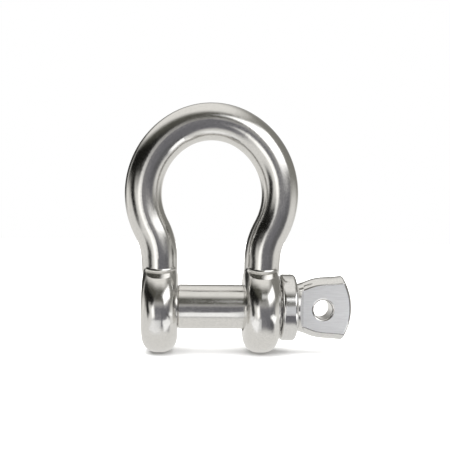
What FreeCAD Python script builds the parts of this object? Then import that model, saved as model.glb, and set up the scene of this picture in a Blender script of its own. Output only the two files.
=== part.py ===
import FreeCAD, Part
import math
import os

# Screw-pin bow shackle, upright with its bow on top.
# Origin: the point on the pin's axis midway between the two eyes.
# X runs along the pin towards its head, Y runs through the shackle, Z points up towards the crown.
# All lengths are in millimetres and all angles in degrees.

V = FreeCAD.Vector
X_AXIS = V(1, 0, 0)
Y_AXIS = V(0, 1, 0)
Z_AXIS = V(0, 0, 1)
ORIGIN = V(0, 0, 0)

# ---- driving dimensions: bow ----
LEG_DIAMETER = 12.0           # round bar at the legs
CROWN_DIAMETER = 12.5         # the bar is a little thicker over the crown
CROWN_HEIGHT = 61.6           # bar centreline at the top, above the pin axis
CROWN_RADIUS = 21.1           # bend of the bar's centreline over the top
CROWN_HALF_ANGLE = 32.8       # of that bend, each way from the top
SIDE_RADIUS = 24.7            # easier bend down each side
SIDE_ANGLE = 85.7             # of the side bend
THROAT_RADIUS = 22.2          # reverse bend that brings each leg back to near vertical
LEG_LEAN = 2.3                # the straight legs still close in a little towards the eyes
LEG_END_DIAMETER = 11.4       # the leg is drawn in where it ends inside the eye
LEG_END_HEIGHT = 5.0          # of that end above the pin axis
LEG_BLEND_RADIUS = 1.2        # small fillet between the leg and the eye
EYE_DIAMETER = 30.0
EYE_THICKNESS = 11.6
EYE_RIM_ROUNDING = 4.9
EYE_HOLE_ROUNDING = 0.6
EYE_FLAT_HEIGHT = 13.7        # the eye is ground flat beside its leg, front and back: the flats would meet
EYE_FLAT_SLOPE = 18.5         # this high above the pin axis, and fall away from the leg at this angle
CLEAR_HOLE_DIAMETER = 15.6    # plain hole in the right eye
TAPPED_HOLE_CHAMFER = 0.7
CUT_MARGIN = 1.0              # how far a solid that is cut away runs past what it cuts

# ---- driving dimensions: screw pin ----
SHANK_DIAMETER = 14.6
SHANK_CHAMFER = 0.35
SHOULDER_GAP = 0.12           # between the shank's shoulder and the left eye
THREAD_PITCH = 2.0
THREAD_CREST_DIAMETER = 13.6
THREAD_ROOT_DIAMETER = 11.3
THREAD_CREST_WIDTH = 0.2      # flat on the crest
THREAD_FLANK_ANGLE = 30.0     # from the radial direction
THREAD_RADIAL_GAP = 0.3       # between the pin's thread and the tapped eye, at crest and root
THREAD_AXIAL_GAP = 0.25       # on each flank
THREAD_RELIEF = 1.2           # plain neck between the thread and the shank's shoulder
TIP_CHAMFER = 0.9
TIP_RECESS = 0.15             # the tip ends just inside the left eye's outer face
COLLAR_GAP = 0.5              # between the collar and the right eye
COLLAR_DIAMETER = 22.0
COLLAR_THICKNESS = 5.15
COLLAR_ROUNDING = 1.1
NECK_DIAMETER = 15.0
NECK_LENGTH = 0.85

# ---- driving dimensions: the pin's flat head ----
HEAD_LENGTH = 18.2
HEAD_HALF_THICKNESS = 4.35
HEAD_BULGE = 2.25             # how far the long edges swell past the flat faces
HEAD_ROOT_HALF_HEIGHT = 7.8   # at the neck
HEAD_SHOULDER_HALF_HEIGHT = 10.0
HEAD_END_HALF_HEIGHT = 10.85
HEAD_SHOULDER_AT = 6.0        # along the head: here its steep flare turns into a gentle one
HEAD_SHOULDER_BLEND = 2.2     # half the length of that turn
HEAD_RAMP_LENGTH = 1.6        # from the round neck to the flat faces
HEAD_END_RADIUS = 19.0        # the end is crowned, seen from the front
HEAD_END_BULGE = 0.8          # and swells a little past its edges, seen from above
HEAD_EDGE_ROUNDING = 0.8
MOUSING_HOLE_DIAMETER = 6.1
MOUSING_HOLE_ROUNDING = 0.8
MOUSING_HOLE_AT = 8.15        # along the head
MOUSING_HOLE_DROP = 0.3       # it is drilled a little below the head's centreline


# ---- where things stand, worked out from the dimensions above ----
def on_circle(centre, radius, angle):
    """Point in the shackle's plane on a circle, at an angle from the circle's top towards +X."""
    turn = math.radians(angle)
    return V(centre.x + radius * math.sin(turn), 0, centre.z + radius * math.cos(turn))


THROAT_START_ANGLE = CROWN_HALF_ANGLE + SIDE_ANGLE
CROWN_CENTRE = V(0, 0, CROWN_HEIGHT - CROWN_RADIUS)
SIDE_CENTRE = on_circle(CROWN_CENTRE, CROWN_RADIUS - SIDE_RADIUS, CROWN_HALF_ANGLE)
THROAT_CENTRE = on_circle(SIDE_CENTRE, SIDE_RADIUS + THROAT_RADIUS, THROAT_START_ANGLE)
LEG_TOP = on_circle(THROAT_CENTRE, -THROAT_RADIUS, 90 + LEG_LEAN)
LEG_DIRECTION = V(-math.sin(math.radians(LEG_LEAN)), 0, -math.cos(math.radians(LEG_LEAN)))
LEG_LENGTH = (LEG_TOP.z - LEG_END_HEIGHT) / math.cos(math.radians(LEG_LEAN))
LEG_END = LEG_TOP + LEG_DIRECTION * LEG_LENGTH
EYE_INNER_X = LEG_END.x - EYE_THICKNESS / 2
EYE_OUTER_X = LEG_END.x + EYE_THICKNESS / 2
SHOULDER_X = -EYE_INNER_X + SHOULDER_GAP
TIP_X = -EYE_OUTER_X + TIP_RECESS
COLLAR_X = EYE_OUTER_X + COLLAR_GAP
NECK_X = COLLAR_X + COLLAR_THICKNESS
HEAD_X = NECK_X + NECK_LENGTH


# ---- small helpers ----
def arc(centre, radius, start, end):
    angles = (start, (start + end) / 2, end)
    return Part.Arc(*[on_circle(centre, radius, angle) for angle in angles]).toShape()


def disc(diameter, low_x, high_x):
    """Plain round solid about the pin axis."""
    return Part.makeCylinder(diameter / 2, high_x - low_x, V(low_x, 0, 0), X_AXIS)


def circles_at(shape, x, diameter):
    """The shape's round edges of one diameter that lie at one place along the pin axis."""
    return [
        edge
        for edge in shape.Edges
        if isinstance(edge.Curve, Part.Circle)
        and abs(edge.Curve.Radius - diameter / 2) < 1e-3
        and abs(edge.Curve.Center.x - x) < 1e-3
    ]


def faces_of(shape, edge):
    return {type(face.Surface) for face in shape.ancestorsOfType(edge, Part.Face)}


def turned(points):
    """Solid of revolution about the pin axis from (x, radius) points."""
    corners = [V(x, 0, radius) for x, radius in points]
    outline = Part.makePolygon(corners + [corners[0]])
    return Part.Face(outline).revolve(ORIGIN, X_AXIS, 360)


# ---- bow ----
def bent_bar():
    """Right half of the bent bar, from the crown down to the straight leg, tapering as it goes."""
    crown = arc(CROWN_CENTRE, CROWN_RADIUS, 0, CROWN_HALF_ANGLE)
    side = arc(SIDE_CENTRE, SIDE_RADIUS, CROWN_HALF_ANGLE, THROAT_START_ANGLE)
    throat = arc(THROAT_CENTRE, -THROAT_RADIUS, THROAT_START_ANGLE, 90 + LEG_LEAN)
    at_crown = Part.makeCircle(CROWN_DIAMETER / 2, V(0, 0, CROWN_HEIGHT), X_AXIS)
    at_leg = Part.makeCircle(LEG_DIAMETER / 2, LEG_TOP, LEG_DIRECTION)
    sweep = Part.BRepOffsetAPI.MakePipeShell(Part.Wire([crown, side, throat]))
    sweep.setFrenetMode(True)
    sweep.add(Part.Wire(at_crown))
    sweep.add(Part.Wire(at_leg))
    sweep.build()
    sweep.makeSolid()
    return sweep.shape()


def ground_flats():
    """What is ground off the right eye, down to the two flats in front of its leg and behind it."""
    reach = EYE_DIAMETER
    drop = reach * math.tan(math.radians(EYE_FLAT_SLOPE))
    ridge = V(EYE_INNER_X - CUT_MARGIN, 0, EYE_FLAT_HEIGHT)
    front = ridge + V(0, -reach, -drop)
    back = ridge + V(0, reach, -drop)
    above = Z_AXIS * 2 * reach
    outline = Part.makePolygon([ridge, front, front + above, back + above, back, ridge])
    return Part.Face(outline).extrude(X_AXIS * (EYE_THICKNESS + 2 * CUT_MARGIN))


def leg_with_eye():
    """Straight end of the right leg and its eye, with a fillet in the crease between them."""
    leg = Part.makeCone(LEG_DIAMETER / 2, LEG_END_DIAMETER / 2, LEG_LENGTH, LEG_TOP, LEG_DIRECTION)
    blank = disc(EYE_DIAMETER, EYE_INNER_X, EYE_OUTER_X)
    rims = circles_at(blank, EYE_INNER_X, EYE_DIAMETER) + circles_at(blank, EYE_OUTER_X, EYE_DIAMETER)
    eye = blank.makeFillet(EYE_RIM_ROUNDING, rims)
    eye.rotate(ORIGIN, X_AXIS, 180)    # puts the rim's seam at the bottom, clear of the crease
    body = leg.fuse(eye.cut(ground_flats()))
    crease = [
        edge
        for edge in body.Edges
        if Part.Cone in faces_of(body, edge)
        and len(faces_of(body, edge)) > 1
        and edge.BoundBox.ZMax < LEG_TOP.z - LEG_BLEND_RADIUS
    ]
    return body.makeFillet(LEG_BLEND_RADIUS, crease)


def bow():
    """The whole forging: both halves joined, one eye drilled and the other tapped."""
    half = bent_bar().fuse(leg_with_eye())
    body = half.fuse(half.rotated(ORIGIN, Z_AXIS, 180)).removeSplitter()
    drill = disc(CLEAR_HOLE_DIAMETER, 0, EYE_OUTER_X + CUT_MARGIN)
    body = body.cut(drill)
    mouths = circles_at(body, EYE_INNER_X, CLEAR_HOLE_DIAMETER)
    mouths += circles_at(body, EYE_OUTER_X, CLEAR_HOLE_DIAMETER)
    body = body.makeFillet(EYE_HOLE_ROUNDING, mouths)
    tap_diameter = THREAD_ROOT_DIAMETER + 2 * THREAD_RADIAL_GAP
    body = body.cut(disc(tap_diameter, -EYE_OUTER_X - CUT_MARGIN, 0))
    mouths = circles_at(body, -EYE_INNER_X, tap_diameter)
    mouths += circles_at(body, -EYE_OUTER_X, tap_diameter)
    body = body.makeChamfer(TAPPED_HOLE_CHAMFER, mouths)
    return body.cut(thread_ridge(THREAD_RADIAL_GAP, THREAD_AXIAL_GAP))


# ---- screw pin ----
def thread_ridge(radial_gap, axial_gap):
    """One right-hand ridge along the left eye and past both its faces.

    The gaps widen it, so that the wide ridge cuts the groove that the narrow one runs in.
    """
    start_x = -EYE_OUTER_X - THREAD_PITCH
    length = EYE_THICKNESS + 2 * THREAD_PITCH
    root = THREAD_ROOT_DIAMETER / 2 - THREAD_CREST_WIDTH / 2
    crest = THREAD_CREST_DIAMETER / 2 + radial_gap
    slope = math.tan(math.radians(THREAD_FLANK_ANGLE))
    nominal_crest = THREAD_CREST_DIAMETER / 2

    def half_width(radius):
        return THREAD_CREST_WIDTH / 2 + (nominal_crest - radius) * slope + axial_gap

    profile = Part.makePolygon(
        [
            V(root, 0, -half_width(root)),
            V(crest, 0, -half_width(crest)),
            V(crest, 0, half_width(crest)),
            V(root, 0, half_width(root)),
            V(root, 0, -half_width(root)),
        ]
    )
    helix = Part.makeLongHelix(THREAD_PITCH, length, root)
    ridge = Part.Wire(helix.Edges).makePipeShell([profile], True, True)
    ridge.rotate(ORIGIN, Y_AXIS, 90)
    ridge.translate(V(start_x, 0, 0))
    return ridge


def pin_thread():
    """Threaded end of the pin, chamfered at the tip, with a plain relief before the shank."""
    root = THREAD_ROOT_DIAMETER / 2
    crest = THREAD_CREST_DIAMETER / 2
    thread_end = SHOULDER_X - THREAD_RELIEF
    envelope = turned(
        [
            (TIP_X, 0),
            (TIP_X, crest - TIP_CHAMFER),
            (TIP_X + TIP_CHAMFER, crest),
            (thread_end - (crest - root), crest),
            (thread_end, root),
            (thread_end, 0),
        ]
    )
    core = turned(
        [
            (TIP_X, 0),
            (TIP_X, min(root, crest - TIP_CHAMFER)),
            (TIP_X + TIP_CHAMFER / 2, root),
            (SHOULDER_X, root),
            (SHOULDER_X, 0),
        ]
    )
    return core.fuse(thread_ridge(0, 0).common(envelope))


def pin_shank():
    """Plain round shank, from its shoulder beside the tapped eye to the collar."""
    radius = SHANK_DIAMETER / 2
    return turned(
        [
            (SHOULDER_X, 0),
            (SHOULDER_X, radius - SHANK_CHAMFER),
            (SHOULDER_X + SHANK_CHAMFER, radius),
            (COLLAR_X, radius),
            (COLLAR_X, 0),
        ]
    )


def head_half_height(along):
    """Half the head's height: a steep flare, then a gentle one, with a smooth turn between them."""
    steep = (HEAD_SHOULDER_HALF_HEIGHT - HEAD_ROOT_HALF_HEIGHT) / HEAD_SHOULDER_AT
    gentle = (HEAD_END_HALF_HEIGHT - HEAD_SHOULDER_HALF_HEIGHT) / (HEAD_LENGTH - HEAD_SHOULDER_AT)
    into_turn = along - (HEAD_SHOULDER_AT - HEAD_SHOULDER_BLEND)
    if into_turn <= 0:
        return HEAD_ROOT_HALF_HEIGHT + steep * along
    if into_turn >= 2 * HEAD_SHOULDER_BLEND:
        return HEAD_SHOULDER_HALF_HEIGHT + gentle * (along - HEAD_SHOULDER_AT)
    turn = (gentle - steep) * into_turn**2 / (4 * HEAD_SHOULDER_BLEND)
    return HEAD_ROOT_HALF_HEIGHT + steep * along + turn


def head_section(along, half_thickness, bulge):
    """Cross-section of the head: two flat faces joined by two swelling edges."""
    x = HEAD_X + along
    half_height = head_half_height(along)
    flat = half_height - bulge
    front_low = V(x, -half_thickness, -flat)
    front_high = V(x, -half_thickness, flat)
    back_high = V(x, half_thickness, flat)
    back_low = V(x, half_thickness, -flat)
    return Part.Wire(
        [
            Part.LineSegment(front_low, front_high).toShape(),
            Part.Arc(front_high, V(x, 0, half_height), back_high).toShape(),
            Part.LineSegment(back_high, back_low).toShape(),
            Part.Arc(back_low, V(x, 0, -half_height), front_low).toShape(),
        ]
    )


def head_end_shape():
    """Round solid whose crowned rim shapes the end of the paddle."""
    centre = V(HEAD_X + HEAD_LENGTH - HEAD_END_RADIUS, 0, 0)
    reach = HEAD_HALF_THICKNESS + HEAD_END_BULGE
    edge_radius = HEAD_END_RADIUS - HEAD_END_BULGE * (reach / HEAD_HALF_THICKNESS) ** 2
    low = centre + V(-edge_radius, -reach, 0)
    high = centre + V(-edge_radius, reach, 0)
    rim = Part.Arc(low, centre - V(HEAD_END_RADIUS, 0, 0), high).toShape()
    sides = Part.makePolygon([high, centre + V(0, reach, 0), centre - V(0, reach, 0), low])
    outline = Part.Wire([rim] + sides.Edges)
    return Part.Face(outline).revolve(centre, Y_AXIS, 360)


def head_root():
    """Round root of the head, cut down on both sides by a ramp that ends at the flat faces."""
    end_x = HEAD_X + HEAD_RAMP_LENGTH
    end_radius = head_half_height(HEAD_RAMP_LENGTH)
    root = Part.makeCone(NECK_DIAMETER / 2, end_radius, end_x - NECK_X, V(NECK_X, 0, 0), X_AXIS)
    for side in (-1, 1):
        flat_end = V(end_x, side * HEAD_HALF_THICKNESS, -COLLAR_DIAMETER)
        ramp_start = V(HEAD_X, side * HEAD_ROOT_HALF_HEIGHT, -COLLAR_DIAMETER)
        outside = V(end_x, side * COLLAR_DIAMETER, -COLLAR_DIAMETER)
        outside_start = V(HEAD_X, side * COLLAR_DIAMETER, -COLLAR_DIAMETER)
        waste = Part.Face(Part.makePolygon([flat_end, ramp_start, outside_start, outside, flat_end]))
        root = root.cut(waste.extrude(Z_AXIS * 2 * COLLAR_DIAMETER))
    return root


def head_blade():
    """The flat, flared stretch of the head, with every edge rounded except inside its root."""
    stations = (
        0,
        HEAD_SHOULDER_AT - HEAD_SHOULDER_BLEND,
        HEAD_SHOULDER_AT,
        HEAD_SHOULDER_AT + HEAD_SHOULDER_BLEND,
        (HEAD_SHOULDER_AT + HEAD_SHOULDER_BLEND + HEAD_LENGTH) / 2,
        HEAD_LENGTH,
    )
    sections = [head_section(along, HEAD_HALF_THICKNESS, HEAD_BULGE) for along in stations]
    blade = Part.makeLoft(sections, True, False).common(head_end_shape())
    outer = [edge for edge in blade.Edges if edge.BoundBox.XMax > HEAD_X + HEAD_EDGE_ROUNDING]
    return blade.makeFillet(HEAD_EDGE_ROUNDING, outer)


def pin_head():
    """Collar, neck and paddle, which turn with the thread."""
    collar = disc(COLLAR_DIAMETER, COLLAR_X, NECK_X)
    rims = circles_at(collar, COLLAR_X, COLLAR_DIAMETER) + circles_at(collar, NECK_X, COLLAR_DIAMETER)
    collar = collar.makeFillet(COLLAR_ROUNDING, rims)
    neck = disc(NECK_DIAMETER, COLLAR_X, NECK_X)
    blade = head_root().fuse(head_blade()).removeSplitter()
    hole_radius = MOUSING_HOLE_DIAMETER / 2
    hole_start = V(HEAD_X + MOUSING_HOLE_AT, -COLLAR_DIAMETER, -MOUSING_HOLE_DROP)
    blade = blade.cut(Part.makeCylinder(hole_radius, 2 * COLLAR_DIAMETER, hole_start, Y_AXIS))
    mouths = [
        edge
        for edge in blade.Edges
        if Part.Cylinder in faces_of(blade, edge) and edge.BoundBox.YLength < HEAD_HALF_THICKNESS
    ]
    blade = blade.makeFillet(MOUSING_HOLE_ROUNDING, mouths)
    return collar.fuse([neck, blade])


def main():
    os.makedirs("parts", exist_ok=True)
    parts = {"bow": bow, "pin_shank": pin_shank, "pin_thread": pin_thread, "pin_head": pin_head}
    for name, make in parts.items():
        shape = make()
        print(name, "valid", shape.isValid(), "solids", len(shape.Solids), "volume", round(shape.Volume, 1))
        shape.exportStep("parts/" + name + ".step")


main()
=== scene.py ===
import math

import bpy
from mathutils import Matrix, Vector


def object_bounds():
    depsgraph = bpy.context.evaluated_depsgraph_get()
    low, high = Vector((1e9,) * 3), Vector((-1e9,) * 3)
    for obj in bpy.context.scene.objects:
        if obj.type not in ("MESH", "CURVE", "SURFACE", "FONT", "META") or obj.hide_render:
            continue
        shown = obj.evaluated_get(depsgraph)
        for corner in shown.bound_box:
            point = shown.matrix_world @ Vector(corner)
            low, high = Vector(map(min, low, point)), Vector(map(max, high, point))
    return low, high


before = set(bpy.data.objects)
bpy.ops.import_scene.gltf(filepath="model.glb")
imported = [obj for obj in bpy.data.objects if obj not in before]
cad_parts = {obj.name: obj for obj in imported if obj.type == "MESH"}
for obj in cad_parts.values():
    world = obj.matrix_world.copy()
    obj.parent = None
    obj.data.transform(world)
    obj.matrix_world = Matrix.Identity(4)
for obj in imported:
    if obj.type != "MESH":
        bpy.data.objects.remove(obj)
cad_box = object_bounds()

MM = 0.001

# ---- camera: a short lens close to the shackle, a little to the left of it ----
CAMERA_DISTANCE = 233 * MM    # from the shackle's middle plane
CAMERA_LENS = 56.0            # millimetres
SENSOR_WIDTH = 36.0           # millimetres
CAMERA_X = -7.1 * MM
LOOK_AT_X = 4.5 * MM
CAMERA_Z = 27.2 * MM          # the camera looks level
CAMERA_ROLL = math.radians(0.8)

# ---- floor ----
FLOOR_SIZE = 3.0
FLOOR_BRIGHTNESS = 0.9

# ---- lamp: one broad soft light from overhead, slightly to the front, not seen in the steel ----
LAMP_PLACE = (0.0, -0.05, 0.8)
LAMP_ANGLE = math.radians(110)
LAMP_POWER = 7.0

# ---- what the steel mirrors, as patches on the studio's walls ----
# Azimuth runs from straight in front (0) towards +X, elevation up from level. All angles in degrees.
# name, azimuth, elevation, half width, half height, tilt, edge softness, colour
SURROUNDINGS = (
    ("far_wall", 180, 23, 52, 15, 0, 9, (0.22, 0.215, 0.20)),
    ("back_door", 215, 12, 20, 14, 0, 8, (0.03, 0.03, 0.028)),
    ("grey_right", 94, 34, 46, 31, 0, 13, (0.24, 0.235, 0.215)),
    ("dark_upper", -32, 38, 62, 20, 0, 12, (0.085, 0.083, 0.07)),
    ("black_left", -66, 24, 48, 13, -4, 7, (0.008, 0.008, 0.007)),
    ("black_low", -64, 0, 12, 19, 34, 6, (0.015, 0.015, 0.014)),
    ("photographer", 22, -22, 40, 30, 0, 10, (0.17, 0.168, 0.182)),
    ("dark_side", 50, -24, 15, 20, 0, 10, (0.12, 0.12, 0.125)),
    ("window", 40, 30, 25, 14, 14, 5, (1.9, 1.9, 1.9)),
    ("light_strip", -20, -8, 9, 15, 12, 5, (1.5, 1.49, 1.45)),
)
OVERHEAD_COLOUR = (0.90, 0.885, 0.85)
TABLE_COLOUR = (0.80, 0.79, 0.765)
TABLE_EDGE = -0.3             # height on the unit sphere where the table starts to fade
TABLE_END = 0.2               # and where it has faded into the overhead colour
STUDIO_WHITE = (1.0, 1.0, 1.0)

# ---- pale soft-edged cards lying in front of the pin, the eyes and the head, seen only in the steel ----
# name, centre (X, Y), size (X, Y), brightness; lengths in millimetres
CARDS = (
    ("card_pin", (0, -27), (29, 22), 1.1),
    ("card_left_eye", (-23, -27), (16, 24), 0.95),
    ("card_right_eye", (13, -32), (8, 26), 0.9),
    ("card_head", (56, -38), (40, 46), 1.45),
)
CARD_LIFT = 0.1 * MM          # above the floor
CARD_CLEAR = 0.5              # share of the card's width from its centre where it is clear
CARD_FULL = 0.34              # and where it reaches its full brightness

# ---- texture of the steel ----
SPECKLE_SIZE = 0.5 * MM       # grain left by polishing
SPECKLE_DEPTH = 0.005 * MM
SPECKLE_SHADE = 0.93          # brightness of the grain's darker spots
CLOUD_SIZE = 4.5 * MM         # patches that are a little duller
CLOUD_ROUGHNESS = 0.05        # added where it is dullest
SWELL_SIZE = 8 * MM           # slow waves of the hand-polished surface

# ---- brushed faces of the head ----
BRUSHED_DARK = (0.88, 0.885, 0.90)
BRUSHED_LIGHT = (0.95, 0.955, 0.97)
BRUSHED_STROKE = 0.22 * MM    # width of one stroke
BRUSHED_STRETCH = 0.06        # a stroke is about 17 times as long as it is wide
BRUSHED_FROM = 0.985          # a face is brushed where its normal is this close to the Y axis
BRUSHED_FULLY = 0.999


# ---- node helpers ----
def add_node(tree, kind, inputs=None, **settings):
    """New node, with each input either linked to a socket or set to a value."""
    node = tree.nodes.new(kind)
    for name, value in settings.items():
        setattr(node, name, value)
    for name, value in (inputs or {}).items():
        if isinstance(value, bpy.types.NodeSocket):
            tree.links.new(value, node.inputs[name])
        else:
            node.inputs[name].default_value = value
    return node


def math_node(tree, operation, first, second=0.0):
    return add_node(tree, "ShaderNodeMath", {0: first, 1: second}, operation=operation).outputs[0]


def ramp(tree, value, low, high, out_low=0.0, out_high=1.0):
    """Smooth step from one value to another."""
    limits = {"Value": value, "From Min": low, "From Max": high, "To Min": out_low, "To Max": out_high}
    return add_node(tree, "ShaderNodeMapRange", limits, interpolation_type="SMOOTHSTEP").outputs["Result"]


def mix_colour(tree, factor, first, second):
    """First colour where the factor is 0, second colour where it is 1."""
    node = add_node(tree, "ShaderNodeMix", data_type="RGBA")
    sockets = (("Factor", factor, "VALUE"), ("A", first, "RGBA"), ("B", second, "RGBA"))
    for name, value, kind in sockets:
        socket = [s for s in node.inputs if s.name == name and s.type == kind][0]
        if isinstance(value, bpy.types.NodeSocket):
            tree.links.new(value, socket)
        elif kind == "VALUE":
            socket.default_value = value
        else:
            socket.default_value = (*value, 1.0)
    return [s for s in node.outputs if s.type == "RGBA"][0]


# ---- camera ----
def add_camera():
    data = bpy.data.cameras.new("camera")
    camera = bpy.data.objects.new("camera", data)
    bpy.context.scene.collection.objects.link(camera)
    data.lens = CAMERA_LENS
    data.sensor_width = SENSOR_WIDTH
    place = Vector((CAMERA_X, -CAMERA_DISTANCE, CAMERA_Z))
    target = Vector((LOOK_AT_X, 0.0, CAMERA_Z))
    aim = (target - place).to_track_quat("-Z", "Y").to_matrix().to_4x4()
    roll = Matrix.Rotation(CAMERA_ROLL, 4, "Z")
    camera.matrix_world = Matrix.Translation(place) @ aim @ roll
    bpy.context.scene.camera = camera


# ---- studio ----
def patch_mask(tree, direction, azimuth, elevation, half_width, half_height, tilt, softness):
    """1 inside a soft-edged rectangle on the studio's walls, 0 outside it."""
    for axis, angle in (("Z_AXIS", -azimuth), ("X_AXIS", elevation), ("Y_AXIS", tilt)):
        turn = {"Vector": direction, "Angle": math.radians(angle)}
        direction = add_node(tree, "ShaderNodeVectorRotate", turn, rotation_type=axis).outputs[0]
    parts = add_node(tree, "ShaderNodeSeparateXYZ", {0: direction}).outputs
    mask = ramp(tree, parts["Y"], 0.0, -0.1)    # keeps the patch off the opposite wall
    for name, half in (("X", half_width), ("Z", half_height)):
        away = math_node(tree, "ABSOLUTE", parts[name])
        inner = math.sin(math.radians(max(half - softness, 0)))
        outer = math.sin(math.radians(half + softness))
        mask = math_node(tree, "MULTIPLY", mask, ramp(tree, away, outer, inner))
    return mask


def build_surroundings():
    """World that the steel mirrors. The camera itself sees plain white."""
    world = bpy.data.worlds.new("studio")
    bpy.context.scene.world = world
    world.use_nodes = True
    tree = world.node_tree
    tree.nodes.clear()
    direction = add_node(tree, "ShaderNodeTexCoord").outputs["Generated"]
    height = add_node(tree, "ShaderNodeSeparateXYZ", {0: direction}).outputs["Z"]
    upwards = ramp(tree, height, TABLE_EDGE, TABLE_END)
    colour = mix_colour(tree, upwards, TABLE_COLOUR, OVERHEAD_COLOUR)
    for name, *place, patch_colour in SURROUNDINGS:
        colour = mix_colour(tree, patch_mask(tree, direction, *place), colour, patch_colour)
    seen_directly = add_node(tree, "ShaderNodeLightPath").outputs["Is Camera Ray"]
    colour = mix_colour(tree, seen_directly, colour, STUDIO_WHITE)
    light = add_node(tree, "ShaderNodeBackground", {"Color": colour}).outputs[0]
    add_node(tree, "ShaderNodeOutputWorld", {"Surface": light})


def add_floor():
    """Pale floor under the eyes. The steel mirrors the studio's table colour instead of the floor."""
    bpy.ops.mesh.primitive_plane_add(size=FLOOR_SIZE, location=(0, 0, cad_box[0][2]))
    floor = bpy.context.object
    floor.name = "floor"
    material = bpy.data.materials.new("floor")
    material.use_nodes = True
    shader = material.node_tree.nodes["Principled BSDF"]
    shader.inputs["Base Color"].default_value = (FLOOR_BRIGHTNESS,) * 3 + (1,)
    shader.inputs["Roughness"].default_value = 0.9
    shader.inputs["Specular IOR Level"].default_value = 0.0
    floor.data.materials.append(material)
    floor.visible_glossy = False


def card_material(name, brightness):
    """Light that fades out towards the card's edges. Generated coordinates run from 0 to 1 across it."""
    material = bpy.data.materials.new(name)
    material.use_nodes = True
    tree = material.node_tree
    tree.nodes.clear()
    place = add_node(tree, "ShaderNodeTexCoord").outputs["Generated"]
    parts = add_node(tree, "ShaderNodeSeparateXYZ", {0: place}).outputs
    mask = 1.0
    for axis in ("X", "Y"):
        off_centre = math_node(tree, "ABSOLUTE", math_node(tree, "SUBTRACT", parts[axis], 0.5))
        mask = math_node(tree, "MULTIPLY", ramp(tree, off_centre, CARD_CLEAR, CARD_FULL), mask)
    clear = add_node(tree, "ShaderNodeBsdfTransparent").outputs[0]
    light = add_node(tree, "ShaderNodeEmission", {"Strength": brightness}).outputs[0]
    mixed = add_node(tree, "ShaderNodeMixShader", {0: mask, 1: clear, 2: light}).outputs[0]
    add_node(tree, "ShaderNodeOutputMaterial", {"Surface": mixed})
    return material


def add_card(name, centre, size, brightness):
    """Card lying just above the floor, which only reflections show."""
    location = (centre[0] * MM, centre[1] * MM, cad_box[0][2] + CARD_LIFT)
    bpy.ops.mesh.primitive_plane_add(size=1, location=location)
    card = bpy.context.object
    card.name = name
    card.scale = (size[0] * MM, size[1] * MM, 1)
    card.data.materials.append(card_material(name, brightness))
    card.visible_camera = False
    card.visible_diffuse = False
    card.visible_shadow = False


def add_lamp():
    data = bpy.data.lights.new("overhead", "SUN")
    data.angle = LAMP_ANGLE
    data.energy = LAMP_POWER
    lamp = bpy.data.objects.new("overhead", data)
    bpy.context.scene.collection.objects.link(lamp)
    lamp.location = LAMP_PLACE
    lamp.rotation_euler = (-Vector(LAMP_PLACE)).to_track_quat("-Z", "Y").to_euler()
    lamp.visible_glossy = False


# ---- steel ----
def noise(tree, place, grain_size, detail):
    settings = {"Vector": place, "Scale": 1 / grain_size, "Detail": detail}
    return add_node(tree, "ShaderNodeTexNoise", settings).outputs["Fac"]


def bumped(tree, height, depth, normal=None):
    inputs = {"Height": height, "Distance": depth, "Strength": 1.0}
    if normal is not None:
        inputs["Normal"] = normal
    return add_node(tree, "ShaderNodeBump", inputs).outputs[0]


def brushed_mask(tree, normal):
    """1 on the faces square to the Y axis, 0 elsewhere."""
    facing = add_node(tree, "ShaderNodeSeparateXYZ", {0: normal}).outputs["Y"]
    return ramp(tree, math_node(tree, "ABSOLUTE", facing), BRUSHED_FROM, BRUSHED_FULLY)


def brushed_colour(tree, place):
    """Fine strokes along X."""
    drawn_out = {0: place, 1: (BRUSHED_STRETCH, 1.0, 1.0)}
    along_x = add_node(tree, "ShaderNodeVectorMath", drawn_out, operation="MULTIPLY").outputs[0]
    strokes = ramp(tree, noise(tree, along_x, BRUSHED_STROKE, 3.0), 0.3, 0.7)
    return mix_colour(tree, strokes, BRUSHED_DARK, BRUSHED_LIGHT)


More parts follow.
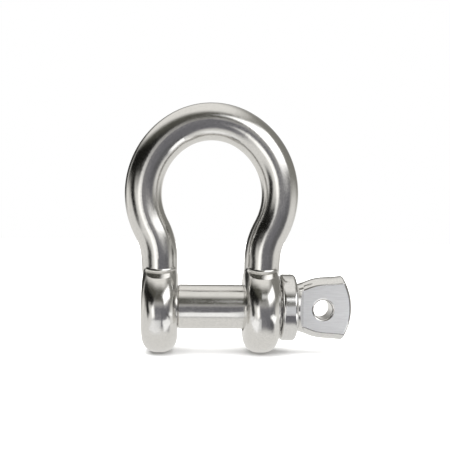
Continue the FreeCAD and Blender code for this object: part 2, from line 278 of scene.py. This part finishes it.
def steel(name, colour, roughness, grain, waviness, brushed_roughness=None):
    """Stainless steel. Faces square to the Y axis may be brushed along X instead of polished."""
    material = bpy.data.materials.new(name)
    material.use_nodes = True
    tree = material.node_tree
    shader = tree.nodes["Principled BSDF"]
    shader.inputs["Metallic"].default_value = 1.0
    texture = add_node(tree, "ShaderNodeTexCoord").outputs
    place = texture["Object"]
    speckle = noise(tree, place, SPECKLE_SIZE, 2.0)
    cloud = noise(tree, place, CLOUD_SIZE, 4.0)
    swell = noise(tree, place, SWELL_SIZE, 1.0)
    darker = [SPECKLE_SHADE * value for value in colour]
    shade = mix_colour(tree, ramp(tree, speckle, 0.35, 0.6), darker, colour)
    dullness = math_node(tree, "ADD", ramp(tree, cloud, 0.35, 0.7, 0.0, CLOUD_ROUGHNESS), roughness)
    dullness = math_node(tree, "ADD", dullness, ramp(tree, speckle, 0.3, 0.7, -grain, grain))
    if brushed_roughness is not None:
        brushed = brushed_mask(tree, texture["Normal"])
        shade = mix_colour(tree, brushed, shade, brushed_colour(tree, place))
        rougher = math_node(tree, "MULTIPLY", brushed, brushed_roughness - roughness)
        dullness = math_node(tree, "ADD", dullness, rougher)
    tree.links.new(shade, shader.inputs["Base Color"])
    tree.links.new(dullness, shader.inputs["Roughness"])
    waves = bumped(tree, swell, waviness)
    tree.links.new(bumped(tree, speckle, SPECKLE_DEPTH, waves), shader.inputs["Normal"])
    return material


def polished_steel():
    """Hand-polished forging: the bow and the shank."""
    return steel("polished_stainless", (0.80, 0.79, 0.77), 0.15, grain=0.03, waviness=0.06 * MM)


def machined_steel():
    """Cut thread, duller than the rest."""
    return steel("machined_stainless", (0.70, 0.69, 0.67), 0.28, grain=0.05, waviness=0.01 * MM)


def ground_steel():
    """Polished head with brushed flat faces."""
    colour = (0.80, 0.795, 0.785)
    return steel("ground_stainless", colour, 0.11, grain=0.03, waviness=0.02 * MM, brushed_roughness=0.65)


def dress(material, *names):
    for name in names:
        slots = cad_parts[name].data.materials
        slots.clear()
        slots.append(material)


add_camera()
build_surroundings()
add_floor()
for card in CARDS:
    add_card(*card)
add_lamp()
bpy.context.scene.view_settings.view_transform = "Standard"

dress(polished_steel(), "bow", "pin_shank")
dress(machined_steel(), "pin_thread")
dress(ground_steel(), "pin_head")
